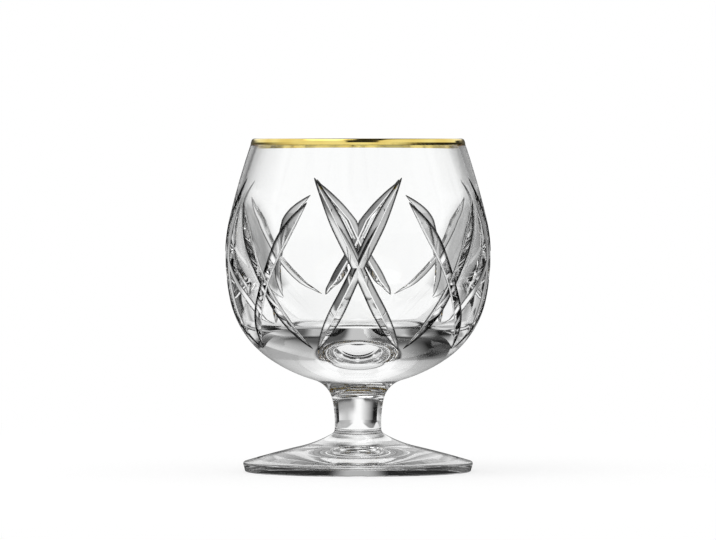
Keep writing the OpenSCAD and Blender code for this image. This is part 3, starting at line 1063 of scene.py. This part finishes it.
# %% [markdown]
# ## The backdrop
# The world is the tent behind the floor. The camera sees it plain white. Light that is bent by the
# glass sees the lane fall off into grey cards on its right and black flags on its left, a grey wall
# above them, and a pale panel overhead. The wall is nearly black on the camera's side, where the dark
# room is. A high value here is the upward part of a direction, so it is the sine of the angle
# above the floor.

# %% Tones of the backdrop
horizon_tones = [(-45, 0.85), (-32, 0.68), (-20, 0.58), (-12, 0.8), (-5, 1)]
horizon_tones += [(4, 1), (12, 0.7), (22, 0.35), (32, 0.005), (45, 0.005)]
card_tone = 0.4
card_side = (0.39, 0.5)
card_rise = (0.035, 0.156)
middle_blur = (0.055, 0.155)
wall_tones = (0.1, 0.5)
wall_starts = (0.14, 0.31)
wall_blur = 0.2
room_tone = 0.05
room_depth = (-0.3, 0.4)
panel_tone = 0.55
panel_rise = (0.67, 0.77)

world = bpy.data.worlds.new("studio")
bpy.context.scene.world = world
world.use_nodes = True
tent = world.node_tree
tent_way = add(tent, "ShaderNodeTexCoord").outputs["Generated"]
way_x, way_y, high = add(tent, "ShaderNodeSeparateXYZ", Vector=tent_way).outputs
tent_bearing = add(tent, "ShaderNodeGroup", node_tree=quarter, Place=tent_way).outputs["Bearing"]
horizon = by_bearing(tent_bearing, horizon_tones)
card = calc("MULTIPLY", ramp(tent_bearing, *card_side, 1, 0), ramp(high, *card_rise, 0, 1))
low_tone = choose(card, horizon, card_tone)
off_middle = calc("ABSOLUTE", calc("SUBTRACT", tent_bearing, lane_bearing))
middle = ramp(off_middle, *middle_blur, 1, 0)
wall_start = ramp(middle, 0, 1, *wall_starts)
wall = ramp(high, wall_start, calc("ADD", wall_start, wall_blur), 0, 1)
wall_tone = calc("MULTIPLY", choose(middle, *wall_tones), ramp(way_y, *room_depth, room_tone, 1))
wall_or_low = choose(wall, low_tone, wall_tone)
panel = calc("MULTIPLY", middle, ramp(high, *panel_rise, 0, 1))
through = choose(panel, wall_or_low, panel_tone)
print("tones of the backdrop:", horizon_tones)

# %% [markdown]
# ## What the gold reflects
# The gold is a curved mirror that looks up and out. In the photograph it is bright all round, with one
# dark lens on top in the middle and a dark line low on the right. So the room that mirrors see is
# white above and dim below, with a dark oval overhead, a little to the right, and a low dark card on
# the right.

# %% World
oval_middle = (0.07, 0.75)
oval_halves = (0.3, 0.35)
oval_blur = (0.8, 1.1)
oval_back = (0.7, 0.9)
dark_card_side = (0.4, 0.6)
dark_card_rise = (0.24, 0.27)
dark_tone = 0.03
bright_rise = (0.12, 0.26)
bright_tones = (0.1, 1.0)

oval_parts = [
    calc("POWER", calc("DIVIDE", calc("SUBTRACT", way, centre), half), 2.0)
    for way, centre, half in zip((way_x, high), oval_middle, oval_halves)
]
in_oval = ramp(calc("ADD", *oval_parts), *oval_blur, 1, 0)
dark_oval = calc("MULTIPLY", ramp(way_y, *oval_back, 1, 0), in_oval)
dark_card = calc("MULTIPLY", ramp(way_x, *dark_card_side, 0, 1), ramp(high, *dark_card_rise, 1, 0))
bright = ramp(high, *bright_rise, *bright_tones)
mirrored = choose(calc("MAXIMUM", dark_oval, dark_card), bright, dark_tone)
tent_rays = add(tent, "ShaderNodeLightPath").outputs
with_mirrored = choose(tent_rays["Is Glossy Ray"], 1.0, mirrored)
with_through = choose(tent_rays["Is Transmission Ray"], with_mirrored, through)
with_camera = choose(tent_rays["Is Camera Ray"], with_through, 1.0)
wire(tent.nodes["Background"].inputs["Color"], with_camera)
print("world:", world.name)

# %% [markdown]
# ## The lamp
# One broad, soft lamp above stands for the studio's overhead light. It only adds a gentle glow to the
# gold and the floor: the tent does the rest.

# %% Lamp
lamp_data = bpy.data.lights.new("overhead", "AREA")
lamp_data.shape = "DISK"
lamp_data.size = 1.2
lamp_data.energy = 6
lamp = bpy.data.objects.new("overhead", lamp_data)
lamp.location = (-0.6, -0.4, 1.6)
lamp.rotation_euler = (-Vector(lamp.location)).to_track_quat("-Z", "Y").to_euler()
bpy.context.collection.objects.link(lamp)
print("lamp:", lamp_data.energy, "W")

# %% [markdown]
# ## Light paths and view
# Light crosses many faces on its way through a cut bowl, so the paths may be longer than usual. The
# view transform is the plain one, so that a colour renders about as it is written.

# %% Settings
scene = bpy.context.scene
scene.cycles.max_bounces = 32
scene.cycles.transmission_bounces = 32
scene.cycles.glossy_bounces = 12
scene.cycles.transparent_max_bounces = 32
scene.view_settings.view_transform = "Standard"
print("view transform:", scene.view_settings.view_transform)
